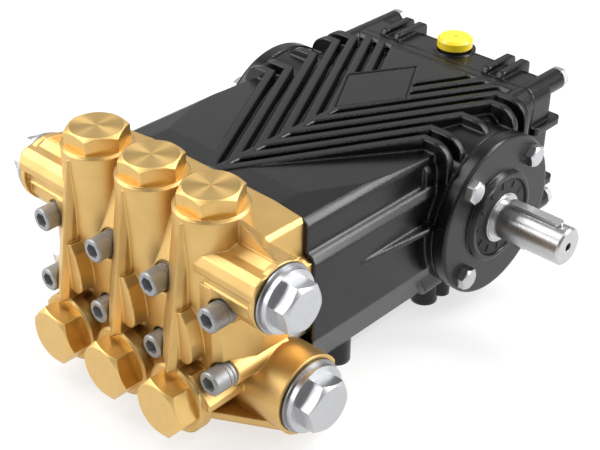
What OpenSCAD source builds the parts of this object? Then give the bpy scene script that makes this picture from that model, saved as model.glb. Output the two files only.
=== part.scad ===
// Three-plunger high pressure pump: brass manifold, finned black crankcase, keyed drive shaft.
// Millimetres. +X runs along the crankshaft to the driven end, +Y from the manifold to the
// rear cover, +Z up. The origin is the centre of the four foot holes, on the foot plane.

/* [Layout] */
// Height of the crankshaft axis above the feet
crank_h = 85; // [84:1:100]
// Distance between neighbouring plungers, valves and caps
pitch = 57.5; // [56:0.5:62]
// Distance from the crankshaft axis forward to the manifold's seat on the crankcase
seat_y = 186; // [180:1:200]
// Running clearance between the shaft and what carries it, on the radius
run_gap = 0.05; // [0.01:0.01:0.1]
// Clearance round screwed-in shanks, on the radius
thread_gap = 0.1; // [0.05:0.05:0.3]

/* [Crankcase] */
// Half width of the crosshead section
guide_half_w = 92; // [90:1:98]
// Step from a bearing housing's face back to the side bulges
bulge_step = 7.4; // [5:0.2:9]
// Height of the crankcase top above the crankshaft axis
top_z = 71; // [70:1:76]
// Height of the long top edges over the crankshaft, below the flat top
shoulder_z = 67; // [65:0.5:69]
// Depth of the crankcase floor below the crankshaft axis
floor_z = 68; // [66:1:72]
// Step from a bearing housing's face back to the rear cover's sides
rear_step = 11.4; // [9:0.2:14]
// Distance from the crankshaft axis back to the rear cover joint
joint_y = 72; // [70:1:80]
// Outside radius of the bearing housings
housing_r = 64; // [62:0.5:65]
// Half width over the faces of the bearing housings
housing_half_w = 106.4; // [105:0.2:110]

/* [Chevron fins] */
// Angle of the fins from the pump's long axis
fin_angle = 28.7; // [27:0.1:31]
// Distance between neighbouring fins, square to them
fin_pitch = 12.5; // [12:0.1:13.5]
// Width of a fin
fin_w = 6.6; // [5:0.2:7.2]
// Depth of the grooves between the fins
fin_h = 7; // [4:0.5:8]
// Distance from the crankshaft axis forward to the point of the outermost chevron
fin_tip_y = 189.5; // [185:0.5:192]
// Width of the spine between the left and the right fins
spine_w = 5; // [3:0.5:6]
// Step from a bearing housing's face back to the ends of the fins
fin_end_step = 1.9; // [1:0.1:4]

/* [Feet] */
// Sideways distance between the foot holes
foot_x = 152; // [146:1:160]
// Distance from the crankshaft axis forward to the middle between front and rear feet
foot_mid_y = 81; // [76:1:90]
// Lengthways distance between the foot holes
foot_y = 106; // [100:1:116]
// Radius of a foot boss
foot_r = 11; // [10:0.5:13]
// Radius of a tapped foot hole
foot_hole_r = 4.25; // [3.4:0.05:5.2]
// Depth of a tapped foot hole
foot_hole_depth = 24; // [15:1:30]

/* [Bearing covers] */
// Radius of a bearing cover
cover_r = 65.3; // [65.2:0.1:68]
// Thickness of a bearing cover
cover_t = 11.5; // [9:0.5:14]
// Thickness of the gasket behind a bearing cover
gasket_t = 1; // [0.5:0.1:2]
// Radius of the cover bolts' circle
cover_bolt_circle_r = 53.9; // [52:0.1:55]
// Radius of the hub ring that holds the shaft seal
hub_r = 37.5; // [36:0.5:40]
// Height of the hub ring over the cover's face
hub_h = 4; // [2:0.5:6]
// Outside radius of the shaft seal
seal_r = 32; // [30:0.5:34]
// Depth of the shaft seal
seal_depth = 9; // [7:0.5:11]

/* [Shaft] */
// Radius of the drive shaft
shaft_r = 15; // [14:0.5:16]
// Radius of the shaft's collar in the seal
collar_r = 20; // [18:0.5:22]
// Distance of the shaft end from the pump's middle
shaft_end_x = 182.6; // [175:0.2:195]
// Distance of the shaft's inner end from the pump's middle
shaft_start_x = 40; // [30:1:60]
// Width of the shaft key
key_w = 8; // [8:0.5:10]
// Height of the shaft key over the shaft
key_rise = 3; // [2:0.25:4]
// Depth of the shaft key in its seat
key_seat = 4; // [3:0.25:5]
// Length of the shaft key
key_len = 46; // [36:1:48]
// Radius of the tapped hole in the shaft end
shaft_hole_r = 3.4; // [2.5:0.1:4.2]
// Depth of the tapped hole in the shaft end
shaft_hole_depth = 20; // [12:1:26]

/* [Rear cover] */
// Depth of the rear cover's body behind its joint
cover_depth = 30; // [28:1:36]
// Height of the rear cover's top above the crankshaft axis
cover_top_z = 70; // [68:1:74]
// Rise of the rear cover's ribs over its walls
rib_rise = 5; // [3:0.5:7]
// Distance of the rear cover's corner bolts from its sides
corner_inset = 11; // [10:0.5:13]
// Height of the upper corner bolts above the crankshaft axis
corner_z = 62; // [60:0.5:64]
// Radius of the corner bolt bosses
corner_r = 9; // [8:0.5:10]

/* [Manifold] */
// Height of the delivery gallery above the crankshaft axis
gallery_z = 47.5; // [46:0.5:50]
// Distance of the valve towers in front of the manifold's seat
tower_y = 53.2; // [52:0.2:56]
// Radius of a valve tower
tower_r = 26; // [25:0.25:27.5]
// Height of the valve towers above the crankshaft axis
tower_top_z = 92; // [90:0.5:98]
// Half width over the plug bosses of both galleries
gallery_half_w = 120; // [116:0.5:126]
// Radius of the delivery gallery's faceted boss
gallery_r = 28; // [27:0.5:29]
// Radius of the round rim that the delivery gallery's washers seat on
gallery_rim_r = 25.4; // [25.2:0.1:26.5]
// Depth of the inlet gallery below the crankshaft axis
inlet_z = 48.5; // [47:0.5:50]
// Distance of the inlet gallery in front of the manifold's seat
inlet_y = 26.5; // [26:0.5:30]
// Radius of the inlet gallery's boss
inlet_r = 30.5; // [29:0.5:32]
// Distance of the cast wall between the towers in front of the seat, at the top
wall_top = 60; // [57:0.5:63]
// The same at the level of the plunger chambers, where the wall stands out most
wall_mid = 79; // [76:0.5:82]
// Half width of the manifold at the bolts
block_half_w = 97; // [96:0.5:102]
// Half width of the manifold above the bolts
block_top_half_w = 89; // [87:0.5:92]
// Half width of the manifold's flat top, which slopes down from there to its sides
top_flat_half_w = 61.5; // [58:0.5:75]
// Half width of the manifold's front wall, from where its corners curve back to the sides
wall_half_w = 79; // [76:0.5:81]
// Radius of the neck behind a suction valve's collar
suction_neck_r = 21; // [19:0.5:24]
// Radius of a suction valve boss
suction_r = 26.5; // [26:0.5:28]
// Distance of the suction bosses' faces in front of the manifold's seat
suction_face = 93; // [90:0.5:97]
// Distance of the bolt seats in front of the manifold's seat
bolt_seat = 68.7; // [66:0.1:72]
// Depth of the spot faces under the manifold bolts
bolt_sink = 8; // [6:0.5:10]
// Height of the upper bolt row above the crankshaft axis
bolt_up_z = 29.2; // [28:0.1:30]
// Depth of the lower bolt row below the crankshaft axis
bolt_low_z = 23.1; // [22:0.1:24]

/* [Caps and plugs] */
// Corner radius of a valve cap's hexagon
cap_hex_r = 23.3; // [22:0.1:23.8]
// Height of a delivery valve cap's hexagon
cap_hex_h = 12.2; // [10:0.2:16]
// Height of a suction valve cap's hexagon
suction_hex_h = 16.5; // [12:0.5:20]
// Radius of a valve cap's threaded shank
cap_shank_r = 17; // [15:0.5:18]
// Length of a valve cap's threaded shank
cap_shank_len = 14; // [10:1:18]
// Corner radius of a delivery plug's hexagon
delivery_hex_r = 18.5; // [17:0.5:19]
// Corner radius of an inlet plug's hexagon
inlet_hex_r = 20.5; // [19:0.5:21]
// Length of a plug's hexagon
plug_hex_h = 13; // [10:0.5:16]
// Thickness of a plug's round collar
plug_collar_t = 5; // [4:0.5:7]
// Thickness of the sealing washers under the plugs
washer_t = 2.5; // [1.5:0.25:3.5]
// Radius of a delivery plug's sealing washer
delivery_washer_r = 24.6; // [23:0.2:25]
// Radius of an inlet plug's sealing washer
inlet_washer_r = 27.6; // [26:0.2:28.4]

/* [Bolts and fittings] */
// Radius of a manifold bolt's socket head
bolt_head_r = 9; // [8:0.25:9.5]
// Height of a manifold bolt's socket head
bolt_head_h = 12; // [10:0.5:14]
// Thickness of each of the two washers under a manifold bolt's head
bolt_washer_t = 3.4; // [2.5:0.1:4]
// Radius of a manifold bolt's shank
bolt_shank_r = 6; // [5:0.25:6.5]
// Corner radius of a cover bolt's hexagon
hex_bolt_r = 9.2; // [8:0.1:10]
// Height of a cover bolt's hexagon
hex_bolt_h = 7; // [5:0.5:8]
// Radius of a cover bolt's shank
hex_shank_r = 5; // [4:0.25:5.5]
// Radius of the oil filler cap
filler_r = 14.8; // [13:0.2:17]
// Height of the oil filler cap
filler_h = 8; // [6:0.5:10]

/* [Hidden] */
$fn = 96;
tiny = 0.01;

brass = "#D9B063";
black = "#2A2B2D";
zinc = "#C9CCD0";

// Everything below is drawn about the crankshaft axis and lifted to the foot plane here
module placed() {
    translate([0, foot_mid_y, crank_h]) children();
}

// A cylinder along +X, along -Y and a box given by its corners
module rod_x(r, x0, x1) {
    translate([x0, 0, 0]) rotate([0, 90, 0]) cylinder(r = r, h = x1 - x0);
}
module rod_front(r, y0, y1) {
    translate([0, y0, 0]) rotate([90, 0, 0]) cylinder(r = r, h = y0 - y1);
}
module box(low, high) {
    translate(low) cube(high - low);
}
module both_sides() {
    children();
    mirror([1, 0, 0]) children();
}
// A rectangle with four round corners
module round_rect(low, high, r) {
    translate([low[0] + r, low[1]]) square([high[0] - low[0] - 2 * r, high[1] - low[1]]);
    translate([low[0], low[1] + r]) square([high[0] - low[0], high[1] - low[1] - 2 * r]);
    for (x = [low[0] + r, high[0] - r], y = [low[1] + r, high[1] - r]) {
        translate([x, y]) circle(r = r);
    }
}
// Carries an outline drawn in (x, z) along Y, and one drawn in (y, z) along X
module along_y(y0, y1) {
    translate([0, y1, 0]) rotate([90, 0, 0]) linear_extrude(y1 - y0) children();
}
module along_x(x0, x1) {
    translate([x0, 0, 0]) rotate([90, 0, 90]) linear_extrude(x1 - x0) children();
}
// A hexagon head whose corners are turned off by a cone, standing on z = 0
module hex_head(r, h, bevel) {
    intersection() {
        cylinder(r = r, h = h, $fn = 6);
        union() {
            cylinder(r = r, h = h - bevel);
            translate([0, 0, h - bevel - tiny])
                cylinder(r1 = r + tiny, r2 = r - bevel * 1.7, h = bevel + tiny);
        }
    }
}

/* Crankcase */

foot_points = [
    for (x = [-1, 1], y = [-1, 1]) [x * foot_x / 2, y * foot_y / 2 - foot_mid_y]
];
body_slope = 9;
bulge_half_w = housing_half_w - bulge_step;
rear_half_w = housing_half_w - rear_step;
fin_half_w = housing_half_w - fin_end_step;
corner_x = rear_half_w - corner_inset;
beyond_w = housing_half_w + 20;
fin_span = joint_y - 12;
fin_floor_z = top_z - fin_h;
fin_step = fin_pitch / sin(fin_angle);
fin_bends = [-46, -30.5, 2, 34.5, 50];
fin_count = 8;
fin_drop_r = 16;
field_half_w = 76;
bolt_columns = [-1.5, -0.5, 0.5, 1.5] * pitch;
bolt_reach = 20;

// The section through the crosshead guides: a crowned top over two wider side bulges
module guide_section(half_w) {
    polygon([
        [-top_flat_half_w, top_z], [top_flat_half_w, top_z], [half_w - 6, shoulder_z],
        [half_w - 2.5, shoulder_z - 1.5], [half_w - 0.5, shoulder_z - 4.5], [half_w, shoulder_z - 8],
        [half_w, -40], [-half_w, -40], [-half_w, shoulder_z - 8], [-half_w + 0.5, shoulder_z - 4.5],
        [-half_w + 2.5, shoulder_z - 1.5], [-half_w + 6, shoulder_z]
    ]);
    bulge_top = 44;
    polygon([
        [-half_w + 8, bulge_top], [half_w - 8, bulge_top], [bulge_half_w - 3, bulge_top - 4],
        [bulge_half_w, bulge_top - 10], [bulge_half_w, -30], [half_w - 4, -floor_z + 6],
        [half_w - 10, -floor_z], [-half_w + 10, -floor_z], [-half_w + 4, -floor_z + 6],
        [-bulge_half_w, -30], [-bulge_half_w, bulge_top - 10], [-bulge_half_w + 3, bulge_top - 4]
    ]);
}

// Seen from the side, the top falls from the manifold to the bearings
module guide_side() {
    polygon([
        [-seat_y, -floor_z], [-seat_y, top_z - 0.8], [-seat_y + 20, top_z - 0.8],
        [-50, top_z - body_slope], [fin_span, top_z - body_slope], [fin_span, -floor_z]
    ]);
}

module guide_body() {
    intersection() {
        along_y(-seat_y, -40) guide_section(guide_half_w);
        along_x(-beyond_w, beyond_w) guide_side();
    }
}

module bearing_body() {
    intersection() {
        along_y(-62, fin_span + 4)
            round_rect([-rear_half_w, -floor_z], [rear_half_w, top_z - body_slope], 14);
        along_x(-beyond_w, beyond_w) polygon([
            [-62, -40], [-46, -floor_z], [fin_span + 4, -floor_z], [fin_span + 4, top_z],
            [-62, top_z]
        ]);
    }
    rod_x(housing_r, -housing_half_w, housing_half_w);
    // flange for the rear cover, with a sloped front edge on top
    along_y(fin_span, joint_y) round_rect([-rear_half_w, -floor_z], [rear_half_w, cover_top_z - 7], 12);
    intersection() {
        along_x(-rear_half_w, rear_half_w) polygon([
            [fin_span - 6, fin_floor_z - 6], [fin_span - 4, fin_floor_z],
            [joint_y - 8, cover_top_z], [joint_y, cover_top_z], [joint_y, 0], [fin_span - 6, 0]
        ]);
        along_y(fin_span - 10, joint_y) round_rect([-rear_half_w, -floor_z], [rear_half_w, cover_top_z], 12);
    }
}

// The centre line of fin k of the right side: where it lies at a distance x from the middle
function fin_y(k, x) = -fin_tip_y + k * fin_step + x / tan(fin_angle);
function fin_x(k, y) = (y + fin_tip_y - k * fin_step) * tan(fin_angle);

flank = fin_w / 2 / sin(fin_angle);
mitre = fin_w / 2 * (1 - sin(fin_angle)) / cos(fin_angle);

// Seen from above: a fin that slants back, then turns square to the side with a mitred corner
module side_fin(k) {
    bend_y = fin_bends[k];
    bend_x = fin_x(k, bend_y);
    end_x = fin_half_w + 5;
    polygon([
        [0, fin_y(k, 0) - flank], [bend_x + mitre, bend_y - fin_w / 2], [end_x, bend_y - fin_w / 2],
        [end_x, bend_y + fin_w / 2], [bend_x - mitre, bend_y + fin_w / 2], [0, fin_y(k, 0) + flank]
    ]);
}

// Seen from above: a fin that slants back to the rear joint
module straight_fin(k) {
    end_x = fin_x(k, fin_span + 2);
    polygon([
        [0, fin_y(k, 0) - flank], [end_x + flank * tan(fin_angle), fin_span + 2],
        [end_x - flank * tan(fin_angle), fin_span + 2], [0, fin_y(k, 0) + flank]
    ]);
}

// The pocket that leaves the fins standing, cut down to the bottom of the grooves
module fin_pocket() {
    start_x = 7;
    translate([0, 0, fin_floor_z]) linear_extrude(4 * fin_h) polygon([
        [start_x, fin_y(0, start_x)], [field_half_w, fin_y(0, field_half_w)], [field_half_w, fin_span],
        [-field_half_w, fin_span], [-field_half_w, fin_y(0, field_half_w)], [-start_x, fin_y(0, start_x)]
    ]);
}

plate_half_x = 30;
plate_half_y = 50;
plate_mid_y = -7;
plate_t = 1.2;

module plate_outline(grow) {
    long = plate_half_y + grow * plate_half_y / plate_half_x;
    translate([0, plate_mid_y]) polygon([
        [plate_half_x + grow, 0], [0, long], [-plate_half_x - grow, 0], [0, -long]
    ]);
}

// All fins at once: their plan, cut to one flat top that rolls over at the sides
module chevron() {
    last = fin_count - 1;
    wedge_x = fin_x(last, fin_span + 2);
    intersection() {
        translate([0, 0, 40]) linear_extrude(top_z) {
            both_sides() {
                for (k = [0:len(fin_bends) - 1]) side_fin(k);
                for (k = [len(fin_bends):last]) straight_fin(k);
            }
            // the flat wedge behind the last fins, the plate's platform and the spine before it
            polygon([[0, fin_y(last, 0)], [wedge_x, fin_span + 2], [-wedge_x, fin_span + 2]]);
            plate_outline(2);
            translate([-0.1 * spine_w, fin_y(0, 0) + 4]) square([spine_w, fin_y(last, 0) - fin_y(0, 0)]);
        }
        along_y(-seat_y + 1, fin_span) round_rect([-fin_half_w, -40], [fin_half_w, top_z], fin_drop_r);
    }
}

module foot_bosses() {
    for (p = foot_points) translate([p[0], p[1], -crank_h]) {
        cylinder(r = foot_r, h = crank_h - floor_z + 20);
    }
    both_sides() {
        for (p = [
            [foot_x / 2 - 12, foot_y / 2 - foot_mid_y - 4, 7.5],
            [foot_x / 2 + 7, foot_y / 2 - foot_mid_y + 13, 7]
        ]) {
            translate([p[0], p[1], -crank_h + 3]) cylinder(r = p[2], h = crank_h - floor_z + 20);
        }
    }
}

// Blade gussets between the sides and the bearing housings
module gussets() {
    both_sides() translate([0, 0, 10]) linear_extrude(4) polygon([
        [bulge_half_w - 6, -148], [bulge_half_w - 1, -146], [housing_half_w + 1, -70],
        [housing_half_w - 1, -50], [rear_half_w - 6, -50]
    ]);
}

module crankcase() placed() color(black) difference() {
    union() {
        difference() {
            union() {
                guide_body();
                bearing_body();
            }
            fin_pocket();
        }
        chevron();
        foot_bosses();
        gussets();
        both_sides() translate([corner_x, 0, corner_z]) rotate([-90, 0, 0])
            translate([0, 0, fin_span - 8]) cylinder(r = corner_r, h = joint_y - fin_span + 8);
    }
    // bearing bore for the shaft
    rod_x(collar_r + run_gap, shaft_start_x - 1, housing_half_w + 1);
    // tapped holes for the manifold bolts
    for (x = bolt_columns, z = [bolt_up_z, -bolt_low_z]) {
        translate([x, -seat_y + bolt_reach + 4, z]) rod_front(bolt_shank_r + thread_gap, 0, -bolt_reach - 5);
    }
    // tapped holes for the bearing cover bolts
    both_sides() bolt_circle() rod_x(hex_shank_r + thread_gap, housing_half_w - 14, housing_half_w + 1);
    // tapped foot holes
    for (p = foot_points) translate([p[0], p[1], -crank_h - 1]) {
        cylinder(r = foot_hole_r, h = foot_hole_depth + 1);
    }
    // tapped holes for the rear cover bolts
    corner_bores(joint_y - 14, joint_y + 1);
    // recess for the name plate
    translate([0, 0, top_z - plate_t]) linear_extrude(fin_h + 2) plate_outline(0);
}

module name_plate() placed() color("#26272A")
    translate([0, 0, top_z - plate_t]) linear_extrude(plate_t * 0.7) plate_outline(-0.3);

/* Rear cover */

corner_low_z = -50;
rear_y = joint_y + cover_depth;
boss_end_y = rear_y + 16;
rib_columns = [46, 60];
rib_rows = [35, -20];
rib_t = 6;
glass_r = 13;
drain_r = 8;
fitting_z = [4, -46];

module corner_bores(y0, y1) {
    both_sides() for (z = [corner_z, corner_low_z]) {
        translate([corner_x, y1, z]) rod_front(hex_shank_r + thread_gap, 0, y0 - y1);
    }
}

module rear_cover() placed() color(black) difference() {
    union() {
        along_y(joint_y, rear_y - 6) round_rect([-rear_half_w, -floor_z], [rear_half_w, cover_top_z], 12);
        along_y(rear_y - 6 - tiny, rear_y)
            round_rect([-rear_half_w + 4, -floor_z + 4], [rear_half_w - 4, cover_top_z - 2], 12);
        both_sides() for (z = [corner_z, corner_low_z]) {
            translate([corner_x, boss_end_y, z]) rod_front(corner_r, 0, joint_y - boss_end_y);
        }
        // ribs over the top and down the back
        both_sides() for (x = rib_columns) along_x(x - rib_t / 2, x + rib_t / 2) {
            round_rect([joint_y, 30], [rear_y + 9, cover_top_z + rib_rise], 5);
        }
        // ribs round the sides
        both_sides() for (z = rib_rows) translate([0, 0, z - rib_t / 2]) linear_extrude(rib_t) {
            round_rect([rear_half_w - 40, joint_y], [rear_half_w + rib_rise, rear_y + 6], 5);
        }
        // seats of the filler, the sight glass and the drain plug
        translate([0, rear_y - 9, cover_top_z - 6]) cylinder(r = filler_r + 3, h = 7);
        translate([0, rear_y + 3, fitting_z[0]]) rod_front(glass_r + 5, 0, -12);
        translate([0, rear_y + 3, fitting_z[1]]) rod_front(drain_r + 5, 0, -12);
    }
    corner_bores(joint_y - 1, boss_end_y + 1);
    translate([0, rear_y - 9, cover_top_z - 14]) cylinder(r = filler_neck_r + thread_gap, h = 30);
    translate([0, rear_y + 4, fitting_z[0]]) rod_front(glass_r + thread_gap, 0, -11);
    translate([0, rear_y + 4, fitting_z[1]]) rod_front(drain_r + thread_gap, 0, -11);
}

module hex_bolt(shank) {
    hex_head(hex_bolt_r, hex_bolt_h, 1.5);
    translate([0, 0, -shank]) cylinder(r = hex_shank_r, h = shank + tiny);
}

module rear_cover_bolts() placed() color(zinc) both_sides() for (z = [corner_z, corner_low_z]) {
    translate([corner_x, boss_end_y, z]) rotate([-90, 0, 0]) hex_bolt(boss_end_y - joint_y + 12);
}

filler_neck_r = 10;

module oil_filler_neck() placed() color("#1C1D1F") translate([0, rear_y - 9, cover_top_z + 1]) {
    cylinder(r = filler_r - 1.8, h = 2);
    translate([0, 0, -12]) cylinder(r = filler_neck_r, h = 12 + tiny);
}

module oil_filler_cap() placed() color("#F3DC1B") translate([0, rear_y - 9, cover_top_z + 3]) difference() {
    union() {
        cylinder(r = filler_r, h = filler_h - 2);
        translate([0, 0, filler_h - 2]) cylinder(r1 = filler_r, r2 = filler_r - 2, h = 2);
    }
    translate([0, 0, filler_h - 0.6]) cylinder(r = 1.6, h = 1);
}

module oil_sight_glass() placed() color("#D8DDE0") translate([0, rear_y + 5.5, fitting_z[0]]) {
    rod_front(glass_r, 0, -12);
    rotate([-90, 0, 0]) translate([0, 0, -2.5]) cylinder(r = glass_r + 3, h = 3, $fn = 6);
}

module oil_drain_plug() placed() color(zinc) translate([0, rear_y + 3, fitting_z[1]]) {
    rotate([-90, 0, 0]) hex_head(drain_r + 3, 8, 1.5);
    rod_front(drain_r, tiny, -9);
}

/* Bearing covers, seal and shaft */

cover_x = housing_half_w + gasket_t;
cover_face_x = cover_x + cover_t;
seal_x = cover_face_x + hub_h - seal_depth;

module bolt_circle() {
    for (a = [45:90:315]) rotate([a, 0, 0]) translate([0, 0, cover_bolt_circle_r]) children();
}

module bearing_gasket() {
    difference() {
        rod_x(cover_r - 1, housing_half_w, cover_x);
        rod_x(collar_r + 3, housing_half_w - 1, cover_x + 1);
        bolt_circle() rod_x(hex_shank_r + thread_gap, housing_half_w - 1, cover_x + 1);
    }
}
module bearing_gasket_right() placed() color("#3A3B3E") bearing_gasket();
module bearing_gasket_left() placed() color("#3A3B3E") mirror([1, 0, 0]) bearing_gasket();

// The cover turned about the shaft axis, with a rounded rim
module cover_disc() {
    rotate([0, 90, 0]) rotate_extrude() {
        translate([0, cover_x]) square([cover_r, cover_t - 2]);
        translate([0, cover_x]) square([cover_r - 2, cover_t]);
        translate([cover_r - 2, cover_x + cover_t - 2]) circle(r = 2);
    }
}

module bearing_cover_right() placed() color(black) difference() {
    union() {
        cover_disc();
        rod_x(hub_r, cover_x, cover_face_x + hub_h - 1.5);
        rod_x(hub_r - 1.5, cover_x, cover_face_x + hub_h);
    }
    rod_x(seal_r + thread_gap, seal_x, cover_face_x + hub_h + 1);
    rod_x(collar_r + run_gap, cover_x - 1, cover_face_x + hub_h + 1);
    bolt_circle() rod_x(hex_shank_r + thread_gap, cover_x - 1, cover_face_x + 1);
}

// The blind cover on the far side has a low centre boss
module bearing_cover_left() placed() color(black) mirror([1, 0, 0]) difference() {
    union() {
        cover_disc();
        rod_x(hub_r, cover_x, cover_face_x + hub_h - 1.5);
        rod_x(hub_r - 1.5, cover_x, cover_face_x + hub_h);
    }
    rod_x(seal_r - 4, cover_face_x, cover_face_x + hub_h + 1);
    bolt_circle() rod_x(hex_shank_r + thread_gap, cover_x - 1, cover_face_x + 1);
}

module cover_bolts() {
    bolt_circle() translate([cover_face_x, 0, 0]) rotate([0, 90, 0]) hex_bolt(cover_t + gasket_t + 12);
}
module cover_bolts_right() placed() color(zinc) cover_bolts();
module cover_bolts_left() placed() color(zinc) mirror([1, 0, 0]) cover_bolts();

module shaft_seal() placed() color("#303134") difference() {
    union() {
        rod_x(seal_r, seal_x, cover_face_x + hub_h - 1.5);
        for (a = [0:30:330]) rotate([a, 0, 0])
            box([seal_x, -0.8, collar_r + 4], [cover_face_x + hub_h - 0.7, 0.8, seal_r - 3]);
    }
    rod_x(collar_r + run_gap, seal_x - 1, cover_face_x + hub_h + 1);
}

collar_end_x = cover_face_x + hub_h + 2;

module drive_shaft() placed() color(zinc) difference() {
    union() {
        rod_x(collar_r, shaft_start_x, collar_end_x - 1);
        rod_x(collar_r - 1, shaft_start_x, collar_end_x);
        rod_x(shaft_r, shaft_start_x, shaft_end_x - 1.5);
        translate([shaft_end_x - 1.5, 0, 0]) rotate([0, 90, 0])
            cylinder(r1 = shaft_r, r2 = shaft_r - 1.5, h = 1.5);
    }
    rod_x(shaft_hole_r, shaft_end_x - shaft_hole_depth, shaft_end_x + 1);
    key_body(thread_gap, 5);
}

key_end_x = shaft_end_x - 7;

// A key with round ends, lying in the top of the shaft
module key_body(gap, extra) {
    end_r = key_w / 2;
    translate([0, 0, shaft_r - key_seat - gap]) linear_extrude(key_seat + key_rise + extra + gap) {
        translate([key_end_x - key_len + end_r, -end_r - gap]) square([key_len - key_w, key_w + 2 * gap]);
        for (x = [key_end_x - key_len + end_r, key_end_x - end_r]) translate([x, 0]) circle(r = end_r + gap);
    }
}

module shaft_key() placed() color("#B9BCC0") key_body(0, 0);

/* Manifold */

tower_mid_y = -seat_y - tower_y;
inlet_mid_y = -seat_y - inlet_y;
bolt_seat_y = -seat_y - bolt_seat;
wall_y = bolt_seat_y - bolt_sink;
cap_bore_r = cap_shank_r + thread_gap;
cap_bore_len = cap_shank_len + 1;
manifold_top_z = top_z;
columns = [-1, 0, 1] * pitch;

// The cast block between the towers, seen from the side: its front wall leans back to the top
module middle_side() {
    polygon([
        [-seat_y, manifold_top_z], [-seat_y - wall_top, manifold_top_z], [-seat_y - wall_mid, 10],
        [-seat_y - wall_mid, -2], [wall_y, -bolt_low_z], [wall_y + 15, -floor_z],
        [-seat_y, -floor_z]
    ]);
}

// The same outside the towers: a platform up to the delivery gallery and a wall under it
module outer_side() {
    step_z = bolt_up_z + 16.5;
    polygon([
        [-seat_y, manifold_top_z], [tower_mid_y, manifold_top_z], [tower_mid_y, step_z],
        [wall_y, step_z], [wall_y, -bolt_low_z - 12], [wall_y + 15, -floor_z],
        [-seat_y, -floor_z]
    ]);
}

// The right half of the cast block seen from the front: narrower above the bolts, cut away below
module block_front() {
    step_z = bolt_up_z + 8;
    polygon([
        [-1, manifold_top_z], [top_flat_half_w, manifold_top_z], [block_top_half_w - 2, manifold_top_z - 2.5],
        [block_top_half_w, manifold_top_z - 6], [block_top_half_w, step_z + 2], [block_half_w, step_z - 1],
        [block_half_w + 1, -bolt_low_z + 11], [pitch + 22, -bolt_low_z - 3], [pitch + 7, -inlet_z],
        [pitch + 7, -floor_z], [-1, -floor_z]
    ]);
}

// The same half seen from above: its front corner curves back to the side
module block_plan() {
    polygon([
        [-1, -seat_y], [block_half_w + 1, -seat_y], [block_half_w + 1, -seat_y - 22],
        [block_half_w - 2, -seat_y - 44], [block_half_w - 6, -seat_y - 58], [wall_half_w + 7, wall_y + 3],
        [wall_half_w, wall_y], [-1, wall_y]
    ]);
}

// The delivery gallery's cast profile, seen along it: two ridges on top, two in front, round behind
gallery_profile = [
    [-0.1, 0.91], [-0.36, 0.79], [-0.62, 0.79], [-0.8, 0.68], [-0.89, 0.43], [-0.89, 0.25],
    [-0.77, 0.13], [-0.77, -0.02], [-0.81, -0.09], [-0.72, -0.17], [-0.72, -0.43],
    [-0.43, -0.86], [0, -0.94], [0.48, -0.8], [0.81, -0.42], [0.91, 0], [0.87, 0.38], [0.55, 0.78]
];

module delivery_gallery() {
    translate([0, tower_mid_y, gallery_z]) {
        along_x(pitch, gallery_half_w) polygon([for (p = gallery_profile) p * gallery_r]);
        rod_x(gallery_rim_r, gallery_half_w - 5, gallery_half_w);
    }
}

// A valve tower over its plunger chamber, with a wedge down its front and a bulge beside that
module tower(x) {
    lobe_r = 7.5;
    rib_foot_y = wall_y - 22;
    rib_top_y = tower_mid_y - tower_r - 1;
    rib_drop = tower_top_z - 4 + bolt_low_z;
    rib_lean = atan((rib_top_y - rib_foot_y) / rib_drop);
    translate([x, tower_mid_y, -20]) cylinder(r = tower_r, h = tower_top_z + 20 - 1.2);
    translate([x, tower_mid_y, tower_top_z - 4]) cylinder(r = tower_r - 1.2, h = 4);
    // the wedge's sharp edge leans forward from the tower's rim to the suction boss
    intersection() {
        translate([x, rib_foot_y, -bolt_low_z]) rotate([-rib_lean, 0, 0]) translate([0, 0, -20])
            linear_extrude(rib_drop + 20)
                polygon([[0, 0], [2.5, 6], [2.5, 30], [-25, 30], [-25, 17]]);
        translate([x - 30, rib_foot_y - 1, -bolt_low_z]) cube([60, 60, rib_drop]);
    }
    // the bulge is a drop shape, pointed at the top
    translate([x + lobe_r - 1, 0, -9]) along_y(wall_y - 12, wall_y + 6) {
        circle(r = lobe_r);
        polygon([[lobe_r, 0], [lobe_r - 0.6, 10], [3, 26], [-1, 33], [-5, 32], [-lobe_r, 24], [-lobe_r, 0]]);
    }
}

// A suction valve boss: a collar under the cap and a narrower neck to the block
module suction_boss(x) {
    translate([x, 0, -inlet_z]) {
        rod_front(suction_r - 1, -seat_y - suction_face + 3, -seat_y - suction_face);
        rod_front(suction_r, -seat_y - suction_face + 10, -seat_y - suction_face + 1);
        rod_front(suction_neck_r, -seat_y - 10, -seat_y - suction_face + 8);
    }
}

// The web from an outer tower to the gallery's end: upright in front, sloped down behind
module tower_web() {
    web_slope = 43;
    web_end = gallery_half_w - 2;
    rise = cos(90 - web_slope);
    along_y(tower_mid_y - 1.5, tower_mid_y) polygon([
        [pitch, tower_top_z - 2], [pitch + tower_r, tower_top_z - 2],
        [web_end, gallery_z + gallery_rim_r - 1.5], [web_end, gallery_z], [pitch, gallery_z]
    ]);
    // the slope goes down behind the web at right angles to its rotated section
    intersection() {
        translate([0, tower_mid_y, 0]) rotate([web_slope, 0, 0]) linear_extrude(80) polygon([
            [pitch, (tower_top_z - 2) * rise], [pitch + tower_r, (tower_top_z - 2) * rise],
            [web_end, (gallery_z + gallery_rim_r - 1.5) * rise], [web_end, 0], [pitch, 0]
        ]);
        translate([pitch, tower_mid_y - 0.5, gallery_z]) cube([web_end - pitch, 19, 50]);
    }
}

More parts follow.
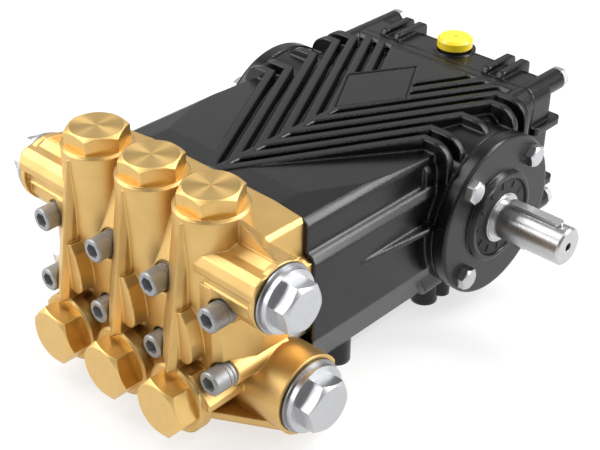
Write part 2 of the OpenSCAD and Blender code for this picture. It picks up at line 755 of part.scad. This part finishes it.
module half_block() {
    intersection() {
        union() {
            along_x(-1, pitch + 4) middle_side();
            along_x(pitch, block_half_w + 2) outer_side();
        }
        along_y(-seat_y - 100, -seat_y) block_front();
        translate([0, 0, -100]) linear_extrude(200) block_plan();
    }
    // bosses that carry the outer bolts where the corner curves back
    for (z = [bolt_up_z, -bolt_low_z])
        translate([bolt_columns[3], 0, z]) rod_front(bolt_head_r + 1, -seat_y - 20, bolt_seat_y);
    // arm from the outer suction boss past the lower bolt to the inlet gallery
    along_y(-seat_y - suction_face + 4, inlet_mid_y) polygon([
        [pitch, -bolt_low_z - 1], [pitch + 13, -bolt_low_z - 1], [pitch + 30, -bolt_low_z - 18],
        [pitch + 30, -inlet_z + 2.5], [pitch, -inlet_z + 2.5]
    ]);
}

module manifold_body() {
    for (x = columns) {
        tower(x);
        suction_boss(x);
    }
    // the inlet gallery is cut flat where it meets the crankcase
    difference() {
        translate([0, inlet_mid_y, -inlet_z]) rod_x(inlet_r, -gallery_half_w, gallery_half_w);
        translate([-gallery_half_w - 1, -seat_y, -inlet_z - 50]) cube([2 * gallery_half_w + 2, 50, 100]);
    }
    both_sides() {
        half_block();
        delivery_gallery();
        tower_web();
        // low webs from the suction bosses to the inlet gallery
        translate([0, 0, -floor_z - 3]) linear_extrude(6) polygon([
            [pitch, wall_y + 1], [pitch + 9, wall_y + 2], [gallery_half_w - 4, inlet_mid_y - 20],
            [gallery_half_w - 4, inlet_mid_y + 8], [pitch, inlet_mid_y]
        ]);
    }
}

module manifold() placed() color(brass) difference() {
    manifold_body();
    // threaded bores under the valve caps
    for (x = columns) {
        translate([x, tower_mid_y, tower_top_z - cap_bore_len])
            cylinder(r = cap_bore_r, h = cap_bore_len + 10);
        translate([x, -seat_y - suction_face + cap_bore_len, -inlet_z])
            rod_front(cap_bore_r, 0, -cap_bore_len - 10);
    }
    // threaded bores under the plugs
    both_sides() {
        for (p = [[tower_mid_y, gallery_z], [inlet_mid_y, -inlet_z]]) translate([0, p[0], p[1]])
            rod_x(plug_shank_r + thread_gap, gallery_half_w - plug_shank_len - 1, gallery_half_w + 1);
    }
    // bolt holes and counterbores
    for (x = bolt_columns, z = [bolt_up_z, -bolt_low_z]) translate([x, -seat_y + 1, z]) {
        rod_front(bolt_shank_r + thread_gap, 0, -bolt_seat - 20);
        translate([0, -bolt_seat - 1, 0]) rod_front(bolt_head_r + 1.5, 0, -30);
    }
}

module delivery_valve_cap(x) color(brass) translate([x, tower_mid_y, tower_top_z]) {
    hex_head(cap_hex_r, cap_hex_h, 2.5);
    translate([0, 0, -cap_shank_len]) cylinder(r = cap_shank_r, h = cap_shank_len + tiny);
}
module delivery_valve_cap_left() placed() delivery_valve_cap(-pitch);
module delivery_valve_cap_middle() placed() delivery_valve_cap(0);
module delivery_valve_cap_right() placed() delivery_valve_cap(pitch);

module suction_valve_cap(x) color(brass) translate([x, -seat_y - suction_face, -inlet_z]) rotate([90, 0, 0]) {
    rotate([0, 0, 50]) hex_head(cap_hex_r, suction_hex_h, 2.5);
    translate([0, 0, -cap_shank_len]) cylinder(r = cap_shank_r, h = cap_shank_len + tiny);
}
module suction_valve_cap_left() placed() suction_valve_cap(-pitch);
module suction_valve_cap_middle() placed() suction_valve_cap(0);
module suction_valve_cap_right() placed() suction_valve_cap(pitch);

/* Bolts, plugs and washers */

// Socket head screw with its washer, pointing forward
module socket_bolt(i, z) color(zinc) translate([bolt_columns[i - 1], bolt_seat_y, z]) rotate([90, 0, 0]) {
    head_z = 2 * bolt_washer_t;
    groove = 0.5;
    difference() {
        union() {
            cylinder(r = bolt_head_r - groove, h = head_z + 1);
            for (n = [0, 1])
                translate([0, 0, n * bolt_washer_t]) cylinder(r = bolt_head_r, h = bolt_washer_t - groove);
            translate([0, 0, head_z]) cylinder(r = bolt_head_r, h = bolt_head_h - 1);
            translate([0, 0, head_z + bolt_head_h - 1])
                cylinder(r1 = bolt_head_r, r2 = bolt_head_r - 1, h = 1);
        }
        translate([0, 0, head_z + bolt_head_h - 6]) cylinder(r = 5.8, h = 20, $fn = 6);
    }
    translate([0, 0, -bolt_seat - bolt_reach]) cylinder(r = bolt_shank_r, h = bolt_seat + bolt_reach + tiny);
}
module manifold_bolt_upper(i) placed() socket_bolt(i, bolt_up_z);
module manifold_bolt_lower(i) placed() socket_bolt(i, -bolt_low_z);

plug_shank_r = 16;
plug_shank_len = 16;

// Plug on the right end of a gallery: washer, collar, hexagon
module plug(hex_r, collar) {
    translate([gallery_half_w + washer_t, 0, 0]) rotate([0, 90, 0]) {
        cylinder(r = collar, h = plug_collar_t);
        translate([0, 0, plug_collar_t - tiny]) rotate([0, 0, 15]) hex_head(hex_r, plug_hex_h, 2.5);
        translate([0, 0, -washer_t - plug_shank_len])
            cylinder(r = plug_shank_r, h = washer_t + plug_shank_len + tiny);
    }
}
module washer(r) difference() {
    rod_x(r, gallery_half_w, gallery_half_w + washer_t);
    rod_x(plug_shank_r + thread_gap, gallery_half_w - 1, gallery_half_w + washer_t + 1);
}
module delivery_plug() translate([0, tower_mid_y, gallery_z]) plug(delivery_hex_r, delivery_washer_r - 2);
module inlet_plug() translate([0, inlet_mid_y, -inlet_z]) plug(inlet_hex_r, inlet_washer_r - 2);
module delivery_plug_right() placed() color(zinc) delivery_plug();
module delivery_plug_left() placed() color(zinc) mirror([1, 0, 0]) delivery_plug();
module inlet_plug_right() placed() color(zinc) inlet_plug();
module inlet_plug_left() placed() color(zinc) mirror([1, 0, 0]) inlet_plug();
module delivery_washer() translate([0, tower_mid_y, gallery_z]) washer(delivery_washer_r);
module inlet_washer() translate([0, inlet_mid_y, -inlet_z]) washer(inlet_washer_r);
module delivery_washer_right() placed() color("#8A8C8F") delivery_washer();
module delivery_washer_left() placed() color("#8A8C8F") mirror([1, 0, 0]) delivery_washer();
module inlet_washer_right() placed() color("#8A8C8F") inlet_washer();
module inlet_washer_left() placed() color("#8A8C8F") mirror([1, 0, 0]) inlet_washer();

crankcase();
name_plate();
rear_cover();
rear_cover_bolts();
bearing_gasket_right();
bearing_gasket_left();
bearing_cover_right();
bearing_cover_left();
cover_bolts_right();
cover_bolts_left();
shaft_seal();
drive_shaft();
shaft_key();
manifold();
delivery_valve_cap_left();
delivery_valve_cap_middle();
delivery_valve_cap_right();
suction_valve_cap_left();
suction_valve_cap_middle();
suction_valve_cap_right();
manifold_bolt_upper(1);  // manifold_bolt_upper_1
manifold_bolt_upper(2);  // manifold_bolt_upper_2
manifold_bolt_upper(3);  // manifold_bolt_upper_3
manifold_bolt_upper(4);  // manifold_bolt_upper_4
manifold_bolt_lower(1);  // manifold_bolt_lower_1
manifold_bolt_lower(2);  // manifold_bolt_lower_2
manifold_bolt_lower(3);  // manifold_bolt_lower_3
manifold_bolt_lower(4);  // manifold_bolt_lower_4
delivery_plug_right();
delivery_plug_left();
inlet_plug_right();
inlet_plug_left();
delivery_washer_right();
delivery_washer_left();
inlet_washer_right();
inlet_washer_left();
oil_filler_neck();
oil_filler_cap();
oil_sight_glass();
oil_drain_plug();
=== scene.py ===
"""A three-plunger high pressure pump: brass manifold, finned black crankcase, keyed drive shaft."""

import math

import bpy
import numpy as np
from mathutils import Matrix, Vector


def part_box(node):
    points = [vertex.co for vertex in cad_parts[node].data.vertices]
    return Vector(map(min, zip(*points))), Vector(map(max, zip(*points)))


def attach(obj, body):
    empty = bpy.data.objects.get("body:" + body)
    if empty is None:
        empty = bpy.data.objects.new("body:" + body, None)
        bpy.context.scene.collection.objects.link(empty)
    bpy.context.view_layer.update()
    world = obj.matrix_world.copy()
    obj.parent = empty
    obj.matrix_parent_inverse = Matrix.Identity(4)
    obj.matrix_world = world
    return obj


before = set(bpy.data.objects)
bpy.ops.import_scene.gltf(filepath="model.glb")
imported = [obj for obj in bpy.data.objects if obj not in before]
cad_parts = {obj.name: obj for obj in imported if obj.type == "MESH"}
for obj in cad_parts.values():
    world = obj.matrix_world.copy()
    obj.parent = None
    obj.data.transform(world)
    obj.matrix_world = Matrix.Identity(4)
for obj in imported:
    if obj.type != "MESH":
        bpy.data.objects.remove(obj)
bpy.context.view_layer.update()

# The camera stands at the photograph's place: to the right of the manifold, looking down on it.
# It is a long lens, so the pump's parallel edges stay nearly parallel.
view_turn = math.radians(43.832)
view_height = math.radians(32.711)
view_roll = math.radians(0.168)
camera_place = Vector((0.5694, -0.6263, 0.6038))
lens_pixels, centre_px = 1269.6, (282.0, 224.6)
frame_px = (600, 450)

backwards = Vector((
    math.sin(view_turn) * math.cos(view_height),
    -math.cos(view_turn) * math.cos(view_height),
    math.sin(view_height),
))
rightwards = Vector((math.cos(view_turn), math.sin(view_turn), 0.0))
axes = Matrix((rightwards, backwards.cross(rightwards), backwards)).transposed()
roll = Matrix.Rotation(view_roll, 4, "Z")
lens = bpy.data.cameras.new("camera")
lens.sensor_width = 36.0
lens.lens = lens_pixels * lens.sensor_width / frame_px[0]
lens.shift_x = (frame_px[0] / 2 - centre_px[0]) / frame_px[0]
lens.shift_y = (centre_px[1] - frame_px[1] / 2) / frame_px[0]
camera = bpy.data.objects.new("camera", lens)
camera.matrix_world = Matrix.Translation(camera_place) @ axes.to_4x4() @ roll
bpy.context.scene.collection.objects.link(camera)
bpy.context.scene.camera = camera
bpy.context.scene.view_settings.view_transform = "Standard"

# The crankcase, its rear cover and the bearing covers are castings, and the rhombus plate lies on top.
# All are under satin black enamel, whose black and gloss vary a little over a fine casting skin.
# The finish rounds their edges as it shades them, and leaves the meshes as they are.
deep_black, grey_black = (0.0020, 0.0021, 0.0023), (0.0042, 0.0044, 0.0048)
enamel_edge_r = 0.0032


def add_node(tree, kind, settings, values, out=0):
    """A node of one kind: its settings first, then its sockets, each a value or another's socket."""
    node = tree.nodes.new(kind)
    for key, value in settings.items():
        setattr(node, key, value)
    for key, value in values.items():
        if isinstance(value, Amount):
            tree.links.new(value.socket, node.inputs[key])
        else:
            node.inputs[key].default_value = value
    return Amount(tree, node.outputs[out])


class Amount:
    """A node's output socket. Arithmetic on it adds Math nodes to its material."""

    def __init__(self, tree, socket):
        self.tree, self.socket = tree, socket

    def math(self, operation, *others):
        values = dict(enumerate((self, *others)))
        return add_node(self.tree, "ShaderNodeMath", {"operation": operation}, values)

    def __add__(self, other):
        return self.math("ADD", other)

    def __sub__(self, other):
        return self.math("SUBTRACT", other)

    def __rsub__(self, other):
        return add_node(self.tree, "ShaderNodeMath", {"operation": "SUBTRACT"}, {0: other, 1: self})

    def __mul__(self, other):
        return self.math("MULTIPLY", other)

    __radd__, __rmul__ = __add__, __mul__

    def between(self, low, high):
        """0 below low, 1 above high, and a smooth step from one to the other."""
        return add_node(self.tree, "ShaderNodeMapRange", {"interpolation_type": "SMOOTHSTEP"}, {
            "Value": self, "From Min": low, "From Max": high,
        })


class Finish:
    """A surface finish: a Principled shader that plain numbers, colours and patterns are put on."""

    edge_samples = 12

    def __init__(self, name, **plain):
        self.material = bpy.data.materials.new(name)
        self.material.use_nodes = True
        self.tree = self.material.node_tree
        self.shader = self.tree.nodes["Principled BSDF"]
        self.place = self.add("ShaderNodeTexCoord", {}, {}, "Object")
        for key, value in plain.items():
            socket = key.replace("_", " ").title().replace("Ior", "IOR")
            self.shader.inputs[socket].default_value = value

    def add(self, kind, settings, values, out=0):
        return add_node(self.tree, kind, settings, values, out)

    def grain(self, size, detail=2.0, stretch=(1.0, 1.0, 1.0)):
        """Noise from 0 to 1 whose blotches are about size metres across, drawn out by stretch."""
        scale = [1 / (size * share) for share in stretch]
        at = self.add("ShaderNodeMapping", {}, {"Vector": self.place, "Scale": scale})
        return self.add("ShaderNodeTexNoise", {}, {"Vector": at, "Scale": 1.0, "Detail": detail})

    def axis(self, name):
        """One coordinate of the surface point, in metres."""
        return self.add("ShaderNodeSeparateXYZ", {}, {"Vector": self.place}, name)

    def blend(self, share, first, second):
        """A colour between two, by a share from 0 to 1. The colours' sockets are the node's 6 and 7."""
        colours = {0: share, 6: (*first, 1.0), 7: (*second, 1.0)}
        return self.add("ShaderNodeMix", {"data_type": "RGBA"}, colours, 2)

    def set(self, socket, value):
        self.tree.links.new(value.socket, self.shader.inputs[socket])

    def relief(self, height, depth, round_edges):
        """Bumps of a height from 0 to 1 and a depth in metres, over edges rounded by a radius."""
        rounded = self.add("ShaderNodeBevel", {"samples": self.edge_samples}, {"Radius": round_edges})
        self.set("Normal", self.add("ShaderNodeBump", {}, {
            "Height": height, "Distance": depth, "Strength": 1.0, "Normal": rounded,
        }))


def dress(finish, *nodes):
    """Gives a finish to CAD nodes."""
    for name in nodes:
        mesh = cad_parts[name].data
        mesh.materials.clear()
        mesh.materials.append(finish.material)


enamel = Finish("black_enamel", specular_ior_level=0.4)
skin = enamel.grain(0.004, 2.0)
blotch = enamel.grain(0.035, 3.0)
enamel.set("Base Color", enamel.blend(blotch.between(0.3, 0.75), deep_black, grey_black))
enamel.set("Roughness", 0.22 + 0.07 * blotch + 0.04 * skin)
enamel.relief(skin, 0.00002, round_edges=enamel_edge_r)
dress(enamel, "crankcase", "rear_cover", "bearing_cover_right", "bearing_cover_left", "name_plate")

# The manifold is one brass casting, shot-blasted, so it is matt gold with a fine even grain.
# Only its seat, bores and bolt seats are machined; the rest stays as cast, a little tarnished.
clean_brass, tarnished_brass = (0.72, 0.485, 0.19), (0.63, 0.415, 0.15)
brass_edge_r = 0.0018
cast = Finish("cast_brass", metallic=1.0)
grit = cast.grain(0.0011, 2.0)
tarnish = cast.grain(0.03, 4.0)
cast.set("Base Color", cast.blend(tarnish.between(0.3, 0.8), clean_brass, tarnished_brass))
cast.set("Roughness", 0.40 + 0.05 * grit + 0.06 * tarnish)
cast.relief(grit, 0.00003, round_edges=brass_edge_r)
dress(cast, "manifold")

# Valve caps are turned and milled from brass bar, and screwed into the manifold.
# Their faces carry fine rings round each axis, and the top ones shine as a spun star.
valve_pitch, ring_step = 0.0575, 0.0014
bright_bar, dull_bar = (0.76, 0.515, 0.195), (0.69, 0.455, 0.16)


def turned_brass(name, middle, across, spin):
    """Brass with tool rings: a sine wave of the distance from the nearest valve axis.

    X is wrapped once per valve pitch, so one finish serves the three caps of a row.
    """
    finish = Finish(name, metallic=1.0, anisotropic=spin)
    side = finish.axis("X").math("WRAP", valve_pitch / 2, -valve_pitch / 2)
    other = finish.axis(across) - middle
    radius = (side * side + other * other).math("SQRT")
    rings = (radius * (2 * math.pi / ring_step)).math("SINE") * 0.5 + 0.5
    wander = finish.grain(0.006, 2.0)
    finish.set("Base Color", finish.blend(wander, bright_bar, dull_bar))
    finish.set("Roughness", 0.31 + 0.06 * wander + 0.03 * rings)
    finish.relief(rings, 0.000005, round_edges=0.0007)
    return finish


top_low, top_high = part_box("delivery_valve_cap_middle")
front_low, front_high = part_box("suction_valve_cap_middle")
top_brass = turned_brass("turned_brass_top", (top_low.y + top_high.y) / 2, "Y", 0.8)
front_brass = turned_brass("turned_brass_front", (front_low.z + front_high.z) / 2, "Z", 0.0)
dress(top_brass, *[f"delivery_valve_cap_{side}" for side in ("left", "middle", "right")])
dress(front_brass, *[f"suction_valve_cap_{side}" for side in ("left", "middle", "right")])

# The gallery plugs, the covers' hexagon bolts and the drain plug are steel with a bright zinc coat.
# The coat has a fine spangle, which shows in its colour, gloss and relief.
zinc = Finish("zinc_steel", metallic=1.0)
spangle = zinc.grain(0.003, 3.0)
zinc.set("Base Color", zinc.blend(spangle, (0.60, 0.60, 0.61), (0.50, 0.51, 0.53)))
zinc.set("Roughness", 0.3 + 0.12 * spangle)
zinc.relief(spangle, 0.00003, round_edges=0.0005)
plugs = [f"{kind}_{side}" for kind in ("delivery_plug", "inlet_plug") for side in ("left", "right")]
dress(zinc, *plugs, "cover_bolts_right", "cover_bolts_left", "rear_cover_bolts", "oil_drain_plug")

# The manifold's eight socket screws and their washers have a duller grey zinc coat.
# They stand in two rows of four and hold the manifold on the crankcase.
dull = Finish("dull_zinc_steel", metallic=0.5)
coat = dull.grain(0.0025, 3.0)
dull.set("Base Color", dull.blend(coat, (0.42, 0.425, 0.435), (0.32, 0.325, 0.335)))
dull.set("Roughness", 0.38 + 0.12 * coat)
dull.relief(coat, 0.00003, round_edges=0.0005)
dress(dull, *[f"manifold_bolt_{row}_{i}" for row in ("upper", "lower") for i in (1, 2, 3, 4)])

# The drive shaft is ground steel, and so is the key in its keyway.
# The grinding marks are fine along the shaft and long across it.
ground = Finish("ground_steel", metallic=1.0)
lay = ground.grain(0.0006, 2.0, stretch=(1.0, 12.0, 12.0))
ground.set("Base Color", ground.blend(lay, (0.60, 0.60, 0.60), (0.50, 0.50, 0.51)))
ground.set("Roughness", 0.22 + 0.16 * lay)
ground.relief(lay, 0.00002, round_edges=0.0005)
dress(ground, "drive_shaft", "shaft_key")

# Each gallery plug seals on a flat steel ring, squeezed between its head and the brass boss.
# The rings are plain stamped steel, darker than the zinc of the plugs.
ring = Finish("washer_steel", metallic=1.0)
ring_grain = ring.grain(0.002, 2.0)
ring.set("Base Color", ring.blend(ring_grain, (0.40, 0.40, 0.40), (0.30, 0.30, 0.31)))
ring.set("Roughness", 0.30 + 0.15 * ring_grain)
ring.relief(ring_grain, 0.00003, round_edges=0.0004)
washers = [f"{kind}_{side}" for kind in ("delivery_washer", "inlet_washer") for side in ("left", "right")]
dress(ring, *washers)

# The shaft seal is moulded black rubber, pressed into the right bearing cover.
# The gaskets under both bearing covers are sheet rubber, clamped by the covers' bolts.
rubber = Finish("seal_rubber", specular_ior_level=0.4)
bloom = rubber.grain(0.002, 3.0)
rubber.set("Base Color", rubber.blend(bloom, (0.018, 0.018, 0.019), (0.032, 0.032, 0.033)))
rubber.set("Roughness", 0.55 + 0.2 * bloom)
rubber.relief(bloom, 0.00005, round_edges=0.0005)
dress(rubber, "shaft_seal", "bearing_gasket_right", "bearing_gasket_left")

# Each plug's steel washer has a black rubber ring bonded to it, which bulges out beside the boss.
# It is moulded in one piece with a round outer lip, and the plug squeezes it against the brass.
lip_r, lip_out = 0.0007, 0.0003
plug_hole_r = 0.0165
lip_points, turn_steps = 9, 96


def rubber_ring(name, washer):
    """A closed ring: an outline in (radius, place along X) turned about the washer's axis.

    The outline goes out along the boss, round a half circle of radius lip_r, and back on the washer.
    """
    low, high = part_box(washer)
    side = 1.0 if low.x > 0 else -1.0
    boss_x = low.x if side > 0 else high.x
    rim_r = (high.z - low.z) / 2 + lip_out - lip_r
    turn = np.linspace(-math.pi / 2, math.pi / 2, lip_points)
    radius = np.concatenate(([plug_hole_r], rim_r + lip_r * np.cos(turn), [plug_hole_r]))
    along = np.concatenate(([0.0], lip_r * (1 + np.sin(turn)), [2 * lip_r]))
    angle = np.linspace(0.0, 2 * math.pi, turn_steps, endpoint=False)
    points = np.stack(np.broadcast_arrays(
        boss_x + side * along[None, :],
        (low.y + high.y) / 2 + radius[None, :] * np.cos(angle)[:, None],
        (low.z + high.z) / 2 + radius[None, :] * np.sin(angle)[:, None],
    ), axis=-1)
    around, across = angle.size, radius.size
    i, j = np.meshgrid(np.arange(around), np.arange(across), indexing="ij")
    next_i, next_j = (i + 1) % around, (j + 1) % across
    corners = [(i, j), (next_i, j), (next_i, next_j), (i, next_j)]
    faces = np.stack([a * across + b for a, b in corners], axis=-1).reshape(-1, 4)
    mesh = bpy.data.meshes.new(name)
    mesh.from_pydata(points.reshape(-1, 3).tolist(), [], faces[:, ::int(side)].tolist())
    mesh.polygons.foreach_set("use_smooth", [True] * len(mesh.polygons))
    mesh.materials.append(rubber.material)
    piece = bpy.data.objects.new(name, mesh)
    bpy.context.scene.collection.objects.link(piece)
    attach(piece, "housing")


for side in ("right", "left"):
    for port in ("delivery", "inlet"):
        rubber_ring(f"{port}_rubber_ring_{side}", f"{port}_washer_{side}")

# The oil filler's cap is a glossy yellow moulding, screwed into the neck by hand.
# Its colour and gloss vary a little over its faces, under a thin clear shine.
yellow = Finish("yellow_plastic", specular_ior_level=0.5, coat_weight=0.3, coat_roughness=0.08)
moulding = yellow.grain(0.0015, 2.0)
yellow.set("Base Color", yellow.blend(moulding, (0.86, 0.66, 0.018), (0.80, 0.60, 0.014)))
yellow.set("Roughness", 0.3 + 0.12 * moulding)
yellow.relief(moulding, 0.00003, round_edges=0.0008)
dress(yellow, "oil_filler_cap")

# The filler neck is a black moulding that stands in the top of the rear cover.
# It is plainer and duller than the cap, with a fine moulded grain.
neck = Finish("black_plastic", specular_ior_level=0.45)
neck_grain = neck.grain(0.001, 2.0)
neck.set("Base Color", neck.blend(neck_grain, (0.012, 0.012, 0.013), (0.02, 0.02, 0.021)))
neck.set("Roughness", 0.4 + 0.15 * neck_grain)
neck.relief(neck_grain, 0.00003, round_edges=0.0005)
dress(neck, "oil_filler_neck")

# The oil sight glass is a hexagon with its window, screwed into the back of the rear cover.
# The whole piece is a pale grey-green under a clear coat, as the window isn't a mesh of its own.
glass = Finish("sight_glass", specular_ior_level=0.5, coat_weight=0.5, coat_roughness=0.05)
depth = glass.grain(0.006, 1.0)
glass.set("Base Color", glass.blend(depth, (0.55, 0.58, 0.56), (0.42, 0.44, 0.42)))
glass.set("Roughness", 0.12 + 0.08 * depth)
glass.relief(depth, 0.00002, round_edges=0.0005)
dress(glass, "oil_sight_glass")

# A pale paper floor glows a little by itself, for the camera, for shiny metal and for glass.
# The lamps light the rest of its white, so it keeps the pump's shadow.
floor_half = 6.0
floor_glow, floor_grey = 0.68, 0.33
floor_mesh = bpy.data.meshes.new("floor")
floor_mesh.from_pydata(
    [(x * floor_half, y * floor_half, 0.0) for x, y in ((-1, -1), (1, -1), (1, 1), (-1, 1))],
    [],
    [(0, 1, 2, 3)],
)
floor = bpy.data.objects.new("floor", floor_mesh)
bpy.context.scene.collection.objects.link(floor)
paper = bpy.data.materials.new("floor_paper")
paper.use_nodes = True
paper.node_tree.nodes.clear()


def paper_node(kind, values, out=0):
    """A node of the floor's paper."""
    return add_node(paper.node_tree, kind, {}, values, out)


camera_ray, glossy_ray, glass_ray = [
    paper_node("ShaderNodeLightPath", {}, f"Is {kind} Ray") for kind in ("Camera", "Glossy", "Transmission")
]
seen = camera_ray.math("MAXIMUM", glossy_ray).math("MAXIMUM", glass_ray)
glow = paper_node("ShaderNodeEmission", {"Strength": seen * floor_glow})
matt = paper_node("ShaderNodeBsdfDiffuse", {"Color": (floor_grey, floor_grey, floor_grey, 1.0)})
both = paper_node("ShaderNodeAddShader", {0: glow, 1: matt})
surface = paper.node_tree.nodes.new("ShaderNodeOutputMaterial").inputs["Surface"]
paper.node_tree.links.new(both.socket, surface)
floor_mesh.materials.append(paper)

# A plain pale world fills the shade, and five softboxes stand round the pump.
# Key and front light it from the left, rim and top draw bright lines on it from the right,
# and the back lamp shows in the black top.
world_strength = 0.27
world = bpy.data.worlds.new("studio")
bpy.context.scene.world = world
world.use_nodes = True
world.node_tree.nodes["Background"].inputs["Color"].default_value = (1.0, 1.0, 1.0, 1.0)
world.node_tree.nodes["Background"].inputs["Strength"].default_value = world_strength

pump_middle = Vector((0.0, -0.05, 0.08))


def softbox(name, direction, distance, size, power, long_way=(1.0, 0.0, 0.0)):
    """A rectangular lamp that stands off in a direction, with its long side laid along long_way."""
    lamp = bpy.data.lights.new(name, "AREA")
    lamp.shape = "RECTANGLE"
    lamp.size, lamp.size_y = size
    lamp.energy = power
    stand = bpy.data.objects.new(name, lamp)
    way = Vector(direction).normalized()
    short_way = way.cross(Vector(long_way)).normalized()
    turned = Matrix((short_way.cross(way), short_way, way)).transposed()
    stand.matrix_world = Matrix.Translation(pump_middle + way * distance) @ turned.to_4x4()
    bpy.context.scene.collection.objects.link(stand)


softbox("key", (-0.6, -0.2, 0.8), 1.6, (0.9, 0.9), 13)
softbox("front", (-0.62, -0.72, 0.36), 1.8, (1.4, 1.1), 20)
softbox("rim", (0.54, 0.61, 0.58), 1.6, (2.2, 0.3), 33, long_way=(0.75, 0.0, -0.69))
softbox("top", (0.58, -0.03, 0.8), 1.6, (1.2, 0.15), 6, long_way=(0.0, 1.0, 0.0))
softbox("back", (-0.58, 0.61, 0.54), 2.2, (2.0, 1.6), 5)
